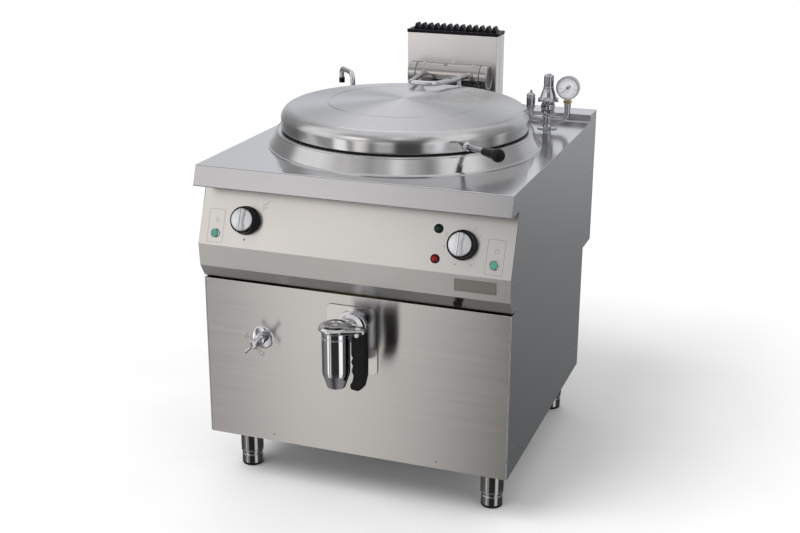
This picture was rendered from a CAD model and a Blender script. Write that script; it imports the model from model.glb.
import bpy
import bmesh
from math import sin, cos, tan, pi, radians, degrees, hypot, atan2, sqrt, acos
from mathutils import Matrix, Vector


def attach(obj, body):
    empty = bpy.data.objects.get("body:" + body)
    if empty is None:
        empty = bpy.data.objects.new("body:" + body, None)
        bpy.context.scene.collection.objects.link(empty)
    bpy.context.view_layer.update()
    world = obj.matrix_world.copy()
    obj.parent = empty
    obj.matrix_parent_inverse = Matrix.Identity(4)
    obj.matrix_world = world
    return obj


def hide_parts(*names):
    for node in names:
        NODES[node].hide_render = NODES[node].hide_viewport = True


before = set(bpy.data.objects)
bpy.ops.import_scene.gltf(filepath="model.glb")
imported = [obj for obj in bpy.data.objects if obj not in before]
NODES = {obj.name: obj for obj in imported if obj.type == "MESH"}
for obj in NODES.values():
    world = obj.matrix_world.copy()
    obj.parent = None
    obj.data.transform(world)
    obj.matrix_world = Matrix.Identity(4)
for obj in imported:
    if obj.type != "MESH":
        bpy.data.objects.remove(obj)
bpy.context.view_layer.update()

MM = 0.001

# ================================================================== camera
cam_data = bpy.data.cameras.new("camera")
cam_data.sensor_width = 36.0
cam_data.lens = 58.5
cam_data.clip_start, cam_data.clip_end = 0.05, 200.0
cam = bpy.data.objects.new("camera", cam_data)
bpy.context.scene.collection.objects.link(cam)
cam.location = (1.1119, -3.0936, 1.6370)
turn = Matrix.Rotation(radians(19.886), 4, "Z") @ Matrix.Rotation(radians(90 - 18.841), 4, "X") @ Matrix.Rotation(radians(0.237), 4, "Z")
cam.rotation_euler = turn.to_euler()
bpy.context.scene.camera = cam
bpy.context.scene.view_settings.view_transform = "Standard"
bpy.context.scene.view_settings.look = "None"

# ============================================================== materials
class Net:
    """A small builder for one material's nodes."""

    def __init__(self, name):
        self.mat = bpy.data.materials.new(name)
        self.mat.use_nodes = True
        self.t = self.mat.node_tree
        self.t.nodes.clear()
        self.out = self.new("ShaderNodeOutputMaterial")
        self.p = self.new("ShaderNodeBsdfPrincipled")
        self.link(self.p.outputs[0], self.out.inputs["Surface"])
        self.obj = self.new("ShaderNodeTexCoord").outputs["Object"]

    def new(self, kind, **kw):
        n = self.t.nodes.new(kind)
        for k, v in kw.items():
            setattr(n, k, v)
        return n

    def link(self, a, b):
        self.t.links.new(a, b)

    def math(self, op, a, b=0.0, c=0.0, clamp=False):
        n = self.new("ShaderNodeMath", operation=op)
        n.use_clamp = clamp
        for i, v in enumerate((a, b, c)):
            if isinstance(v, (int, float)):
                n.inputs[i].default_value = v
            else:
                self.link(v, n.inputs[i])
        return n.outputs[0]

    def scaled(self, vec, s, offset=(0, 0, 0)):
        n = self.new("ShaderNodeMapping")
        n.inputs["Scale"].default_value = s
        n.inputs["Location"].default_value = offset
        self.link(vec, n.inputs["Vector"])
        return n.outputs[0]

    def noise(self, vec, scale=1.0, detail=2.0, rough=0.5):
        n = self.new("ShaderNodeTexNoise")
        n.inputs["Scale"].default_value = scale
        n.inputs["Detail"].default_value = detail
        n.inputs["Roughness"].default_value = rough
        self.link(vec, n.inputs["Vector"])
        return n.outputs["Fac"]

    def ramp(self, fac, stops, mode="LINEAR"):
        n = self.new("ShaderNodeValToRGB")
        n.color_ramp.interpolation = mode
        e = n.color_ramp.elements
        while len(e) < len(stops):
            e.new(0.5)
        for i, (pos, col) in enumerate(stops):
            e[i].position = pos
            e[i].color = (*col, 1.0) if hasattr(col, "__len__") else (col, col, col, 1.0)
        self.link(fac, n.inputs["Fac"])
        return n.outputs["Color"]

    def mixc(self, fac, a, b, mode="MIX"):
        n = self.new("ShaderNodeMix", data_type="RGBA", blend_type=mode)
        for i, v in ((0, fac), (6, a), (7, b)):
            if isinstance(v, (int, float)):
                n.inputs[i].default_value = v
            elif isinstance(v, tuple):
                n.inputs[i].default_value = (*v, 1.0)
            else:
                self.link(v, n.inputs[i])
        return n.outputs[2]

    def bump(self, height, distance, strength=1.0, normal=None):
        n = self.new("ShaderNodeBump")
        n.inputs["Strength"].default_value = strength
        n.inputs["Distance"].default_value = distance
        self.link(height, n.inputs["Height"])
        if normal is not None:
            self.link(normal, n.inputs["Normal"])
        return n.outputs[0]

    def around(self, centre, axis="Z"):
        """(radius, angle, along) about an axis through centre, as three values."""
        sub = self.new("ShaderNodeVectorMath", operation="SUBTRACT")
        self.link(self.obj, sub.inputs[0])
        sub.inputs[1].default_value = centre
        sep = self.new("ShaderNodeSeparateXYZ")
        self.link(sub.outputs[0], sep.inputs[0])
        x, y, z = sep.outputs
        if axis == "Y":
            x, y, z = x, z, y
        elif axis == "X":
            x, y, z = y, z, x
        r = self.math("SQRT", self.math("ADD", self.math("MULTIPLY", x, x), self.math("MULTIPLY", y, y)))
        return r, self.math("ARCTAN2", y, x), z

    def combine(self, *v):
        n = self.new("ShaderNodeCombineXYZ")
        for i, s in enumerate(v):
            if isinstance(s, (int, float)):
                n.inputs[i].default_value = s
            else:
                self.link(s, n.inputs[i])
        return n.outputs[0]


def metal(name, color, rough=0.28, aniso=0.0, grain="x", fine=900.0, centre=(0, 0, 0), axis="Z", streak=0.05, depth=0.00002,
          smudge=0.05, elong=None, scuff=0.0, rough_var=0.10):
    """Stainless steel with its grain: along x, y or z, or turned about an axis (grain 'spun')."""
    m = Net(name)
    if grain == "spun":
        r, a, z = m.around(centre, axis)
        vec = m.combine(m.math("MULTIPLY", r, fine), m.math("MULTIPLY", m.math("SINE", a), 2.2), m.math("MULTIPLY", z, fine))
        wide = m.combine(m.math("MULTIPLY", r, 2.0), m.math("MULTIPLY", m.math("SINE", a), 16.0), m.math("MULTIPLY", m.math("COSINE", a), 16.0))
    elif grain == "none":
        vec = m.scaled(m.obj, (fine, fine, fine))
        wide = m.scaled(m.obj, (fine * 0.16,) * 3)
    else:
        s = [fine] * 3
        s["xyz".index(grain)] = fine * 0.006
        vec = m.scaled(m.obj, tuple(s))
        s = [fine * 0.12] * 3
        s["xyz".index(grain)] = fine * 0.0016
        wide = m.scaled(m.obj, tuple(s), (3.1, 1.7, 0.4))
    n1 = m.noise(vec, 1.0, 3.0, 0.6)
    n2 = m.noise(wide, 1.0, 2.0, 0.5)
    n3 = m.noise(m.obj, 7.0, 3.0, 0.55)
    both = m.math("ADD", m.math("MULTIPLY", n1, 0.6), m.math("MULTIPLY", n2, 0.4))
    lo = tuple(c * (1 - streak) for c in color)
    hi = tuple(min(1.0, c * (1 + streak)) for c in color)
    col = m.ramp(both, [(0.30, lo), (0.70, hi)])
    if scuff:
        n4 = m.noise(m.scaled(m.obj, (31.0, 31.0, 31.0)), 1.0, 5.0, 0.7)
        col = m.mixc(m.math("MULTIPLY", m.ramp(n4, [(0.55, 0.0), (0.75, 1.0)]), scuff), col, tuple(c * 0.55 for c in color))
    m.link(col, m.p.inputs["Base Color"])
    m.p.inputs["Metallic"].default_value = 1.0
    rr = m.math("ADD", m.math("MULTIPLY", m.math("SUBTRACT", both, 0.5), rough_var), rough)
    rr = m.math("ADD", rr, m.math("MULTIPLY", m.math("SUBTRACT", n3, 0.5), smudge), clamp=True)
    m.link(rr, m.p.inputs["Roughness"])
    m.p.inputs["Anisotropic"].default_value = aniso
    if aniso:
        if grain == "spun":
            tan_ = m.new("ShaderNodeTangent", direction_type="RADIAL", axis=axis)
            m.link(tan_.outputs[0], m.p.inputs["Tangent"])
            m.p.inputs["Anisotropic Rotation"].default_value = 0.25
        else:
            m.link(m.combine(*(elong or (0, 0, 1))), m.p.inputs["Tangent"])
    m.link(m.bump(both, depth, 1.0), m.p.inputs["Normal"])
    return m.mat


def plastic(name, color, rough=0.35, grain=0.00004, scale=1800.0, coat=0.0, wear=0.08, metallic=0.0, spec=0.5):
    m = Net(name)
    n1 = m.noise(m.scaled(m.obj, (scale,) * 3), 1.0, 2.0, 0.5)
    n2 = m.noise(m.scaled(m.obj, (40.0,) * 3), 1.0, 3.0, 0.6)
    lo, hi = tuple(c * (1 - wear) for c in color), tuple(min(1, c * (1 + wear) + wear * 0.01) for c in color)
    m.link(m.ramp(n2, [(0.3, lo), (0.7, hi)]), m.p.inputs["Base Color"])
    m.link(m.math("ADD", m.math("MULTIPLY", m.math("SUBTRACT", n2, 0.5), 0.14), rough, clamp=True), m.p.inputs["Roughness"])
    m.p.inputs["Metallic"].default_value = metallic
    m.p.inputs["Coat Weight"].default_value = coat
    m.p.inputs["Coat Roughness"].default_value = 0.08
    m.p.inputs["Specular IOR Level"].default_value = spec
    m.link(m.bump(n1, grain, 0.6), m.p.inputs["Normal"])
    return m.mat


STEEL = (0.600, 0.590, 0.580)
FRONT_GRAIN = metal("panel_steel", (0.575, 0.566, 0.558), 0.21, 0.82, "x", elong=(0, 0, 1), streak=0.035)
HOUSING = metal("housing_steel", STEEL, 0.30, 0.75, "x", elong=(0, 0.36, 0.93), streak=0.035)
DECK = metal("deck_steel", (0.61, 0.61, 0.62), 0.14, 0.55, "x", elong=(0, 1, 0), streak=0.03)
FASCIA = metal("fascia_steel", (0.40, 0.40, 0.415), 0.22, 0.7, "x", elong=(0, 0, 1), streak=0.03)
FITTING = metal("fitting_chrome", (0.46, 0.46, 0.49), 0.05, 0.0, "none", 300.0, streak=0.04, depth=0.000004, smudge=0.05, rough_var=0.02)
SIDE = metal("side_steel", (0.59, 0.595, 0.60), 0.34, 0.6, "z", elong=(0, 1, 0), streak=0.03)
BACK = metal("back_steel", (0.55, 0.55, 0.55), 0.38, 0.5, "z", elong=(1, 0, 0), streak=0.05)
LID = metal("lid_steel", (0.60, 0.60, 0.615), 0.36, 0.95, "spun", 900.0, (0, 0.015, 0), streak=0.05, depth=0.000004, smudge=0.02, rough_var=0.06)
LID_SIDE = metal("lid_side_steel", (0.55, 0.55, 0.56), 0.17, 0.6, "spun", 900.0, (0, 0.015, 0), streak=0.05, depth=0.000008, smudge=0.02)
COLLAR = metal("collar_steel", (0.57, 0.565, 0.575), 0.13, 0.5, "spun", 900.0, (0, 0.015, 0), streak=0.04)
VESSEL = metal("vessel_steel", (0.62, 0.62, 0.615), 0.24, 0.7, "spun", 500.0, (0, 0.015, 0), streak=0.06, depth=0.00004)
CHROME = metal("chrome", (0.62, 0.62, 0.645), 0.05, 0.0, "none", 300.0, streak=0.015, depth=0.000004, smudge=0.05, rough_var=0.02)
SATIN = metal("satin_steel", (0.60, 0.59, 0.58), 0.24, 0.0, "none", 1200.0, streak=0.04, depth=0.00001)
TUBE_X = metal("hinge_steel", (0.40, 0.388, 0.375), 0.13, 0.65, "x", elong=(0, 0, 1), streak=0.06)
FLUE = metal("flue_steel", (0.90, 0.89, 0.885), 0.38, 0.7, "x", elong=(0, 0, 1), streak=0.03)
LEG = metal("leg_steel", (0.30, 0.296, 0.292), 0.14, 0.0, "z", 1100.0, streak=0.07)
EDGE = metal("sheared_edge", (0.07, 0.068, 0.066), 0.45, 0.0, "none", 1500.0, streak=0.12)
CASTING = metal("grey_casting", (0.10, 0.095, 0.09), 0.40, 0.0, "none", 900.0, streak=0.09, depth=0.00006)
HINGE_RING = metal("hinge_ring_steel", (0.42, 0.41, 0.40), 0.16, 0.0, "none", 900.0, streak=0.05)
ZINC = metal("zinc_plate", (0.52, 0.53, 0.53), 0.42, 0.0, "none", 260.0, streak=0.16, depth=0.00003, scuff=0.3)
BRASS = metal("brass", (0.84, 0.74, 0.46), 0.24, 0.0, "none", 900.0, streak=0.06, depth=0.00001, scuff=0.15)
ENAMEL = plastic("black_enamel", (0.006, 0.006, 0.008), 0.34, 0.0002, 260.0, 0.0, 0.25, spec=0.10)
BLACK = plastic("black_plastic", (0.006, 0.006, 0.007), 0.24, 0.00003, 2600.0, 0.0, 0.2, spec=0.12)
KNOB_BLACK = plastic("knob_black", (0.006, 0.006, 0.007), 0.18, 0.00002, 2400.0, 0.0, 0.2, spec=0.12)
RUBBER = plastic("gasket_rubber", (0.022, 0.021, 0.020), 0.62, 0.0001, 1500.0, 0.0, 0.2)
SOLE = plastic("foot_rubber", (0.008, 0.008, 0.008), 0.55, 0.0001, 1300.0, 0.0, 0.25, spec=0.2)
INK = plastic("print_ink", (0.075, 0.075, 0.08), 0.5, 0.00001, 900.0, 0.0, 0.15)
WHITE_DIAL = plastic("dial_white", (0.86, 0.87, 0.90), 0.45, 0.00001, 900.0, 0.0, 0.02)
DARK = plastic("dark_gap", (0.010, 0.010, 0.010), 0.8, 0.00001, 900.0, 0.0, 0.1)


def lens(name, color, deep, glow, ridges=True):
    """A moulded coloured lens: darker at the rim, lighter where the inside scatters light, with fine pressed rings."""
    m = Net(name)
    n = m.noise(m.scaled(m.obj, (420.0,) * 3), 1.0, 3.0, 0.6)
    m.link(m.ramp(n, [(0.32, deep), (0.68, color)]), m.p.inputs["Base Color"])
    m.link(m.math("ADD", m.math("MULTIPLY", n, 0.10), 0.10), m.p.inputs["Roughness"])
    m.p.inputs["Specular IOR Level"].default_value = 0.25
    m.p.inputs["Subsurface Weight"].default_value = 0.15
    m.p.inputs["Subsurface Radius"].default_value = (0.002, 0.002, 0.002)
    m.p.inputs["Emission Color"].default_value = (*color, 1.0)
    m.p.inputs["Emission Strength"].default_value = glow
    m.link(m.bump(n, 0.0001, 0.5), m.p.inputs["Normal"])
    return m.mat


GREEN = lens("green_lens", (0.002, 0.045, 0.026), (0.001, 0.012, 0.009), 0.0)
RED = lens("red_lens", (0.26, 0.004, 0.010), (0.10, 0.002, 0.004), 0.02)
PALE = lens("pale_green_lens", (0.10, 0.33, 0.25), (0.055, 0.22, 0.16), 0.0)


def knob_face():
    m = Net("knob_face")
    n1 = m.noise(m.scaled(m.obj, (2600.0, 60.0, 60.0)), 1.0, 3.0, 0.6)
    n2 = m.noise(m.scaled(m.obj, (60.0,) * 3), 1.0, 2.0, 0.5)
    m.link(m.ramp(n1, [(0.3, (0.55, 0.565, 0.585)), (0.7, (0.70, 0.715, 0.74))]), m.p.inputs["Base Color"])
    m.p.inputs["Metallic"].default_value = 0.75
    m.link(m.math("ADD", m.math("MULTIPLY", n2, 0.14), 0.26), m.p.inputs["Roughness"])
    m.link(m.bump(n1, 0.00001, 0.6), m.p.inputs["Normal"])
    return m.mat


def glass_mat():
    m = Net("clear_glass")
    n = m.noise(m.scaled(m.obj, (60.0,) * 3), 1.0, 2.0, 0.5)
    m.link(m.ramp(n, [(0.3, (0.95, 0.97, 0.98)), (0.7, (1.0, 1.0, 1.0))]), m.p.inputs["Base Color"])
    m.link(m.math("ADD", m.math("MULTIPLY", n, 0.02), 0.01), m.p.inputs["Roughness"])
    m.p.inputs["Alpha"].default_value = 0.10
    m.p.inputs["IOR"].default_value = 1.45
    return m.mat


def wool_mat():
    m = Net("insulation_wool")
    n1 = m.noise(m.scaled(m.obj, (700.0, 700.0, 260.0)), 1.0, 5.0, 0.7)
    n2 = m.noise(m.scaled(m.obj, (22.0,) * 3), 1.0, 3.0, 0.6)
    c = m.mixc(n2, m.ramp(n1, [(0.3, (0.30, 0.26, 0.17)), (0.7, (0.58, 0.52, 0.36))]), (0.55, 0.50, 0.38), "MULTIPLY")
    m.link(c, m.p.inputs["Base Color"])
    m.link(m.math("ADD", m.math("MULTIPLY", n1, 0.2), 0.75), m.p.inputs["Roughness"])
    m.link(m.bump(n1, 0.002, 0.9), m.p.inputs["Normal"])
    return m.mat


KNOB_FACE, GLASS, WOOL = knob_face(), glass_mat(), wool_mat()


# ============================================================ mesh helpers
def frame_at(origin, x_dir, z_dir):
    z = Vector(z_dir).normalized()
    x = Vector(x_dir)
    x = (x - z * x.dot(z)).normalized()
    y = z.cross(x)
    m = Matrix.Identity(4)
    for i in range(3):
        m[i][0], m[i][1], m[i][2], m[i][3] = x[i], y[i], z[i], origin[i]
    return m


def at(x, y, z):
    return Matrix.Translation((x, y, z))


def along_y(x, y, z):
    """Local z runs along -Y (towards the operator), local y is up."""
    return frame_at((x, y, z), (1, 0, 0), (0, -1, 0))


def along_x(x, y, z):
    return frame_at((x, y, z), (0, 1, 0), (1, 0, 0))


def on_face(a, b, x, z):
    y = a[0] + (b[0] - a[0]) * (z - a[1]) / (b[1] - a[1])
    up = Vector((0, b[0] - a[0], b[1] - a[1])).normalized()
    out = Vector((0, -(b[1] - a[1]), b[0] - a[0])).normalized()
    return frame_at((x, y, z), up.cross(out), out)


def fillet(pts, closed=False, n=6):
    """2D or 3D points given as (..., radius): corners turned into arcs."""
    dim = len(pts[0]) - 1
    out = []
    count = len(pts)
    for i, p in enumerate(pts):
        r = p[-1]
        here = Vector(list(p[:dim]) + [0] * (3 - dim))
        if r <= 0 or (not closed and i in (0, count - 1)):
            out.append(here)
            continue
        q, s = pts[(i - 1) % count], pts[(i + 1) % count]
        a = Vector(list(q[:dim]) + [0] * (3 - dim)) - here
        b = Vector(list(s[:dim]) + [0] * (3 - dim)) - here
        la, lb = a.length, b.length
        a, b = a / la, b / lb
        cosv = max(-1, min(1, a.dot(b)))
        ang = acos(cosv)
        if ang > pi - 0.01:
            out.append(here)
            continue
        d = min(r / tan(ang / 2), 0.499 * la, 0.499 * lb)
        r = d * tan(ang / 2)
        bis = (a + b).normalized()
        c = here + bis * (r / sin(ang / 2))
        u = (here + a * d - c).normalized()
        v = (here + b * d - c).normalized()
        sweep = acos(max(-1, min(1, u.dot(v))))
        k = max(2, int(round(n * sweep / (pi / 2))))
        w = (v - u * u.dot(v)).normalized()
        for j in range(k + 1):
            t = sweep * j / k
            out.append(c + (u * cos(t) + w * sin(t)) * r)
    return [tuple(v[:dim]) for v in out]


def lathe(bm, prof, m=None, segs=64, mat=0, closed=True, arc=None):
    """Turns a (radius, height) outline about local z."""
    m = m or Matrix.Identity(4)
    rings = []
    for r, z in prof:
        if r < 1e-6:
            rings.append([bm.verts.new(m @ Vector((0, 0, z)))])
        else:
            rings.append([bm.verts.new(m @ Vector((r * cos(2 * pi * i / segs), r * sin(2 * pi * i / segs), z))) for i in range(segs)])
    pairs = list(zip(rings[:-1], rings[1:]))
    if closed and len(rings) > 2 and not (len(rings[0]) == 1 and len(rings[-1]) == 1):
        pairs.append((rings[-1], rings[0]))
    for a, b in pairs:
        if len(a) == 1 and len(b) == 1:
            continue
        for i in range(segs):
            j = (i + 1) % segs
            if len(a) == 1:
                f = (a[0], b[j], b[i])
            elif len(b) == 1:
                f = (a[i], a[j], b[0])
            else:
                f = (a[i], a[j], b[j], b[i])
            bm.faces.new(f).material_index = mat


def prism(bm, poly, m, h0, h1, mat=0):
    lo = [bm.verts.new(m @ Vector((p[0], p[1], h0))) for p in poly]
    hi = [bm.verts.new(m @ Vector((p[0], p[1], h1))) for p in poly]
    bm.faces.new(lo[::-1]).material_index = mat
    bm.faces.new(hi).material_index = mat
    for i in range(len(poly)):
        j = (i + 1) % len(poly)
        bm.faces.new((lo[i], lo[j], hi[j], hi[i])).material_index = mat


YZ = frame_at((0, 0, 0), (0, 1, 0), (1, 0, 0))      # local x = Y, local y = Z, local z = X
XZ = Matrix(((1, 0, 0, 0), (0, 0, -1, 0), (0, 1, 0, 0), (0, 0, 0, 1)))   # local x = X, local y = Z, local z = -Y


def box(bm, x0, x1, y0, y1, z0, z1, mat=0, m=None):
    prism(bm, [(x0, y0), (x1, y0), (x1, y1), (x0, y1)], m or Matrix.Identity(4), z0, z1, mat)


def tube(bm, path, r, segs=24, mat=0, caps=True, taper=None, up=None):
    """Sweeps a circle along points; taper(t) scales it."""
    pts = [Vector(p) for p in path]
    tans = []
    for i in range(len(pts)):
        a = pts[max(i - 1, 0)]
        b = pts[min(i + 1, len(pts) - 1)]
        tans.append((b - a).normalized())
    ref = Vector(up) if up else (Vector((0, 0, 1)) if abs(tans[0].z) < 0.9 else Vector((1, 0, 0)))
    u = (ref - tans[0] * ref.dot(tans[0])).normalized()
    rings = []
    for i, (p, t) in enumerate(zip(pts, tans)):
        u = (u - t * u.dot(t)).normalized()
        w = t.cross(u)
        k = r * (taper(i / (len(pts) - 1)) if taper else 1.0)
        rings.append([bm.verts.new(p + (u * cos(2 * pi * s / segs) + w * sin(2 * pi * s / segs)) * k) for s in range(segs)])
    for a, b in zip(rings[:-1], rings[1:]):
        for i in range(segs):
            j = (i + 1) % segs
            bm.faces.new((a[i], a[j], b[j], b[i])).material_index = mat
    if caps:
        bm.faces.new(rings[0][::-1]).material_index = mat
        bm.faces.new(rings[-1]).material_index = mat


def dense(path, step=6.0):
    """Adds points along long runs, so that a sweep has even rings."""
    out = [Vector(path[0])]
    for p in path[1:]:
        p = Vector(p)
        k = max(1, int((p - out[-1]).length / step))
        a = out[-1].copy()
        for j in range(1, k + 1):
            out.append(a.lerp(p, j / k))
    return out


def ball(bm, centre, r, segs=24, mat=0, squash=1.0, m=None):
    prof = [(r * cos(a), r * sin(a) * squash) for a in [radians(-90 + 180 * i / (segs // 2)) for i in range(segs // 2 + 1)]]
    prof[0], prof[-1] = (0, -r * squash), (0, r * squash)
    lathe(bm, prof, (m or Matrix.Identity(4)) @ at(*centre), segs, mat, closed=False)


def to_mesh(bm, name):
    bmesh.ops.recalc_face_normals(bm, faces=bm.faces[:])
    bmesh.ops.scale(bm, vec=(MM, MM, MM), verts=bm.verts[:])
    me = bpy.data.meshes.new(name)
    bm.to_mesh(me)
    bm.free()
    return me


def bake_modifiers(ob):
    bpy.context.view_layer.update()
    dg = bpy.context.evaluated_depsgraph_get()
    me = bpy.data.meshes.new_from_object(ob.evaluated_get(dg), depsgraph=dg)
    ob.modifiers.clear()
    old = ob.data
    ob.data = me
    bpy.data.meshes.remove(old)


def piece(name, bm, body, mats, replaces=(), bevel=0.0, segments=2, sharp=34.0, cut=None, angle=34.0, weighted=True):
    me = to_mesh(bm, name)
    ob = bpy.data.objects.new(name, me)
    bpy.context.scene.collection.objects.link(ob)
    for mm in mats if isinstance(mats, (list, tuple)) else [mats]:
        me.materials.append(mm)
    if cut is not None:
        tool = bpy.data.objects.new(name + "_tool", to_mesh(cut, name + "_tool"))
        bpy.context.scene.collection.objects.link(tool)
        md = ob.modifiers.new("cut", "BOOLEAN")
        md.operation, md.solver, md.object = "DIFFERENCE", "EXACT", tool
        bake_modifiers(ob)
        bpy.data.objects.remove(tool)
        me = ob.data
    if bevel:
        md = ob.modifiers.new("edges", "BEVEL")
        md.width, md.segments, md.limit_method, md.angle_limit = bevel * MM, segments, "ANGLE", radians(angle)
        md.use_clamp_overlap = True
        md.miter_outer = "MITER_ARC"
        bake_modifiers(ob)
        me = ob.data
    bm2 = bmesh.new()
    bm2.from_mesh(me)
    bmesh.ops.remove_doubles(bm2, verts=bm2.verts[:], dist=1e-7)
    for f in bm2.faces:
        f.smooth = True
    for e in bm2.edges:
        e.smooth = not (len(e.link_faces) != 2 or e.calc_face_angle(0) > radians(sharp))
    bm2.to_mesh(me)
    bm2.free()
    if weighted:
        wn = ob.modifiers.new("normals", "WEIGHTED_NORMAL")
        wn.keep_sharp = True
        wn.weight = 80
    if replaces:
        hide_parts(*([replaces] if isinstance(replaces, str) else replaces))
    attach(ob, body)
    return ob


def shifted(points, t):
    n = []
    for a, b in zip(points[:-1], points[1:]):
        dy, dz = b[0] - a[0], b[1] - a[1]
        length = hypot(dy, dz) or 1.0
        n.append((dz / length, -dy / length))
    out = []
    for i, p in enumerate(points):
        if i in (0, len(points) - 1):
            m = n[0] if i == 0 else n[-1]
            out.append((p[0] + m[0] * t, p[1] + m[1] * t))
        else:
            a, b = n[i - 1], n[i]
            k = 1 + a[0] * b[0] + a[1] * b[1]
            out.append((p[0] + (a[0] + b[0]) * t / k, p[1] + (a[1] + b[1]) * t / k))
    return out


def sheet_outline(points, t, n=5):
    """Bent sheet seen from its edge: points are (y, z, bend radius) of the outer face."""
    line = fillet(points, n=n)
    return line + shifted(line, t)[::-1]


def ring_poly(r, n=48, x=0.0, y=0.0):
    return [(x + r * cos(2 * pi * i / n), y + r * sin(2 * pi * i / n)) for i in range(n)]


def rounded_rect(x0, x1, y0, y1, r, n=6):
    return fillet([(x0, y0, r), (x1, y0, r), (x1, y1, r), (x0, y1, r)], closed=True, n=n)


def text_mesh(bm, words, size, m, thick=0.15, mat=0):
    """Plain numerals as thin solid letters lying in the local xy plane."""
    cu = bpy.data.curves.new("numeral", "FONT")
    cu.body, cu.size = words, size
    cu.align_x, cu.align_y = "CENTER", "CENTER"
    cu.resolution_u = 3
    cu.extrude = thick / 2
    ob = bpy.data.objects.new("numeral", cu)
    bpy.context.scene.collection.objects.link(ob)
    bpy.context.view_layer.update()
    dg = bpy.context.evaluated_depsgraph_get()
    me = bpy.data.meshes.new_from_object(ob.evaluated_get(dg), depsgraph=dg)
    me.transform(m)
    start = len(bm.faces)
    bm.from_mesh(me)
    bm.faces.ensure_lookup_table()
    for f in bm.faces[start:]:
        f.material_index = mat
    bpy.data.objects.remove(ob)
    bpy.data.meshes.remove(me)
    bpy.data.curves.remove(cu)


# ============================================================= dimensions, mm
PROFILE = [(-335, 560), (-357, 560), (-378, 593), (-383, 651), (-325.9, 800), (-325.9, 847.8)]
A0, A1, B1, C1, E1, F1 = PROFILE
VES_Y = 15.0
LEGS = [("front_left_foot", "foot_front_left", -335, -255), ("front_right_foot", "foot_front_right", 335, -255),
        ("rear_left_foot", "foot_rear_left", -335, 372), ("rear_right_foot", "foot_rear_right", 335, 372)]
KNOBS = {"left": on_face(C1, E1, -277, 715), "right": on_face(C1, E1, 277, 715)}
BUTTONS = {"left": on_face(C1, E1, -357, 679), "right": on_face(C1, E1, 357, 679)}
LAMPS = {"green": on_face(C1, E1, 214, 745), "red": on_face(C1, E1, 214, 679)}
IGN = on_face(A1, B1, 272, 580)
AX = at(0, VES_Y, 0)

# ================================================================ the cabinet
# worktop: one bent sheet with its rear ledge, cut for the vessel, the flue and the safety riser
bm = bmesh.new()
prism(bm, sheet_outline([(-378, 800, 0), (-396, 800, 2.6), (-378, 850, 3.4), (427, 850, 2.6), (427, 872, 2.6), (506, 872, 3), (506, 840, 0)], 2.0, 6), YZ, -400, 400)
ct = bmesh.new()
prism(ct, ring_poly(338, 192, 0, VES_Y), Matrix.Identity(4), 835, 862)
prism(ct, rounded_rect(-130, 118, 440, 500, 6), Matrix.Identity(4), 862, 882)
prism(ct, ring_poly(9.05, 32, 304, 315), Matrix.Identity(4), 835, 862)
for f in bm.faces:
    f.normal_update()
    f.material_index = 1 if abs(f.normal.y) > 0.5 and f.calc_center_median().y < -370 else 0
piece("worktop_sheet", bm, "cabinet", [DECK, FASCIA], "worktop", bevel=0.35, cut=ct, sharp=40)

# side panels
SIDE_OUT = [(-358.5, 130), (-358.5, 555), (-334.9, 555), (-334.9, 561.6), (-356.1, 561.6), (-376.45, 593.6), (-381.4, 650.9),
            (-327.5, 800.06), (-377.5, 800.06), (-377.5, 802.1), (-393.1, 802.1), (-376.4, 847.9), (429.1, 847.9), (429.1, 869.9),
            (503.9, 869.9), (503.9, 839.9), (506, 839.9), (506, 488), (411, 488), (411, 130)]
for name, s in (("left_side_panel", -1), ("right_side_panel", 1)):
    bm = bmesh.new()
    x0, x1 = sorted((s * 398.5, s * 400))
    prism(bm, SIDE_OUT, YZ, x0, x1)
    h0, h1 = sorted((s * 396.9, s * 398.5))
    box(bm, h0, h1, -358.5, -340, 130, 555)
    piece(name.replace("_panel", "_skin"), bm, "cabinet", SIDE, name, bevel=0.3)

# back panel, stepped out over the services, with its two turned stiffening beads
bm = bmesh.new()
line = fillet([(411, 130, 0), (411, 488, 2.4), (506, 488, 3.0), (506, 839.9, 0)], n=6)
prism(bm, line + shifted(line, -1.5)[::-1], YZ, -398.4, 398.4)
ct = bmesh.new()
for x, z, r in ((283, 250, 10.6), (-260, 300, 10.6), (-330, 300, 10.1)):
    prism(ct, ring_poly(r, 32), along_y(x, 410, z), -12, 12)
piece("back_skin", bm, "cabinet", BACK, "back_panel", bevel=0.3, cut=ct)

# lower front panel
bm = bmesh.new()
outer = fillet([(-396.5, -342, 0), (-396.5, -360, 2.2), (396.5, -360, 2.2), (396.5, -342, 0)], n=6)
inner = fillet([(395, -342, 0), (395, -358.5, 0.7), (-395, -358.5, 0.7), (-395, -342, 0)], n=4)
prism(bm, outer + inner, Matrix.Identity(4), 130, 555)
box(bm, -395.7, 395.7, -359.2, -342.4, 553.5, 554.9)
ct = bmesh.new()
prism(ct, ring_poly(27.1, 48), along_y(0, -355, 478), -12, 12)
prism(ct, ring_poly(12.1, 32), along_y(-242, -355, 414), -12, 12)
piece("front_skin", bm, "cabinet", FRONT_GRAIN, "front_panel", bevel=0.6, cut=ct)

# control housing
bm = bmesh.new()
prism(bm, sheet_outline([(-335, 560, 0), (-357, 560, 2.2), (-378, 593, 2.6), (-383, 651, 4.5), (-325.9, 800, 2.0), (-325.9, 847.8, 0)], 1.5, 6), YZ, -400, 400)
ct = bmesh.new()
for f, r in [(k, 6.0) for k in KNOBS.values()] + [(k, 8.95) for k in list(BUTTONS.values()) + list(LAMPS.values())] + [(IGN, 7.05)]:
    prism(ct, ring_poly(r, 32), f, -12, 12)
for s in (-1, 1):
    x0, x1 = sorted((s * 398.3, s * 402))
    box(ct, x0, x1, -340, -320, 799.5, 860)
piece("control_skin", bm, "cabinet", HOUSING, "control_panel", bevel=0.35, cut=ct)

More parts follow.
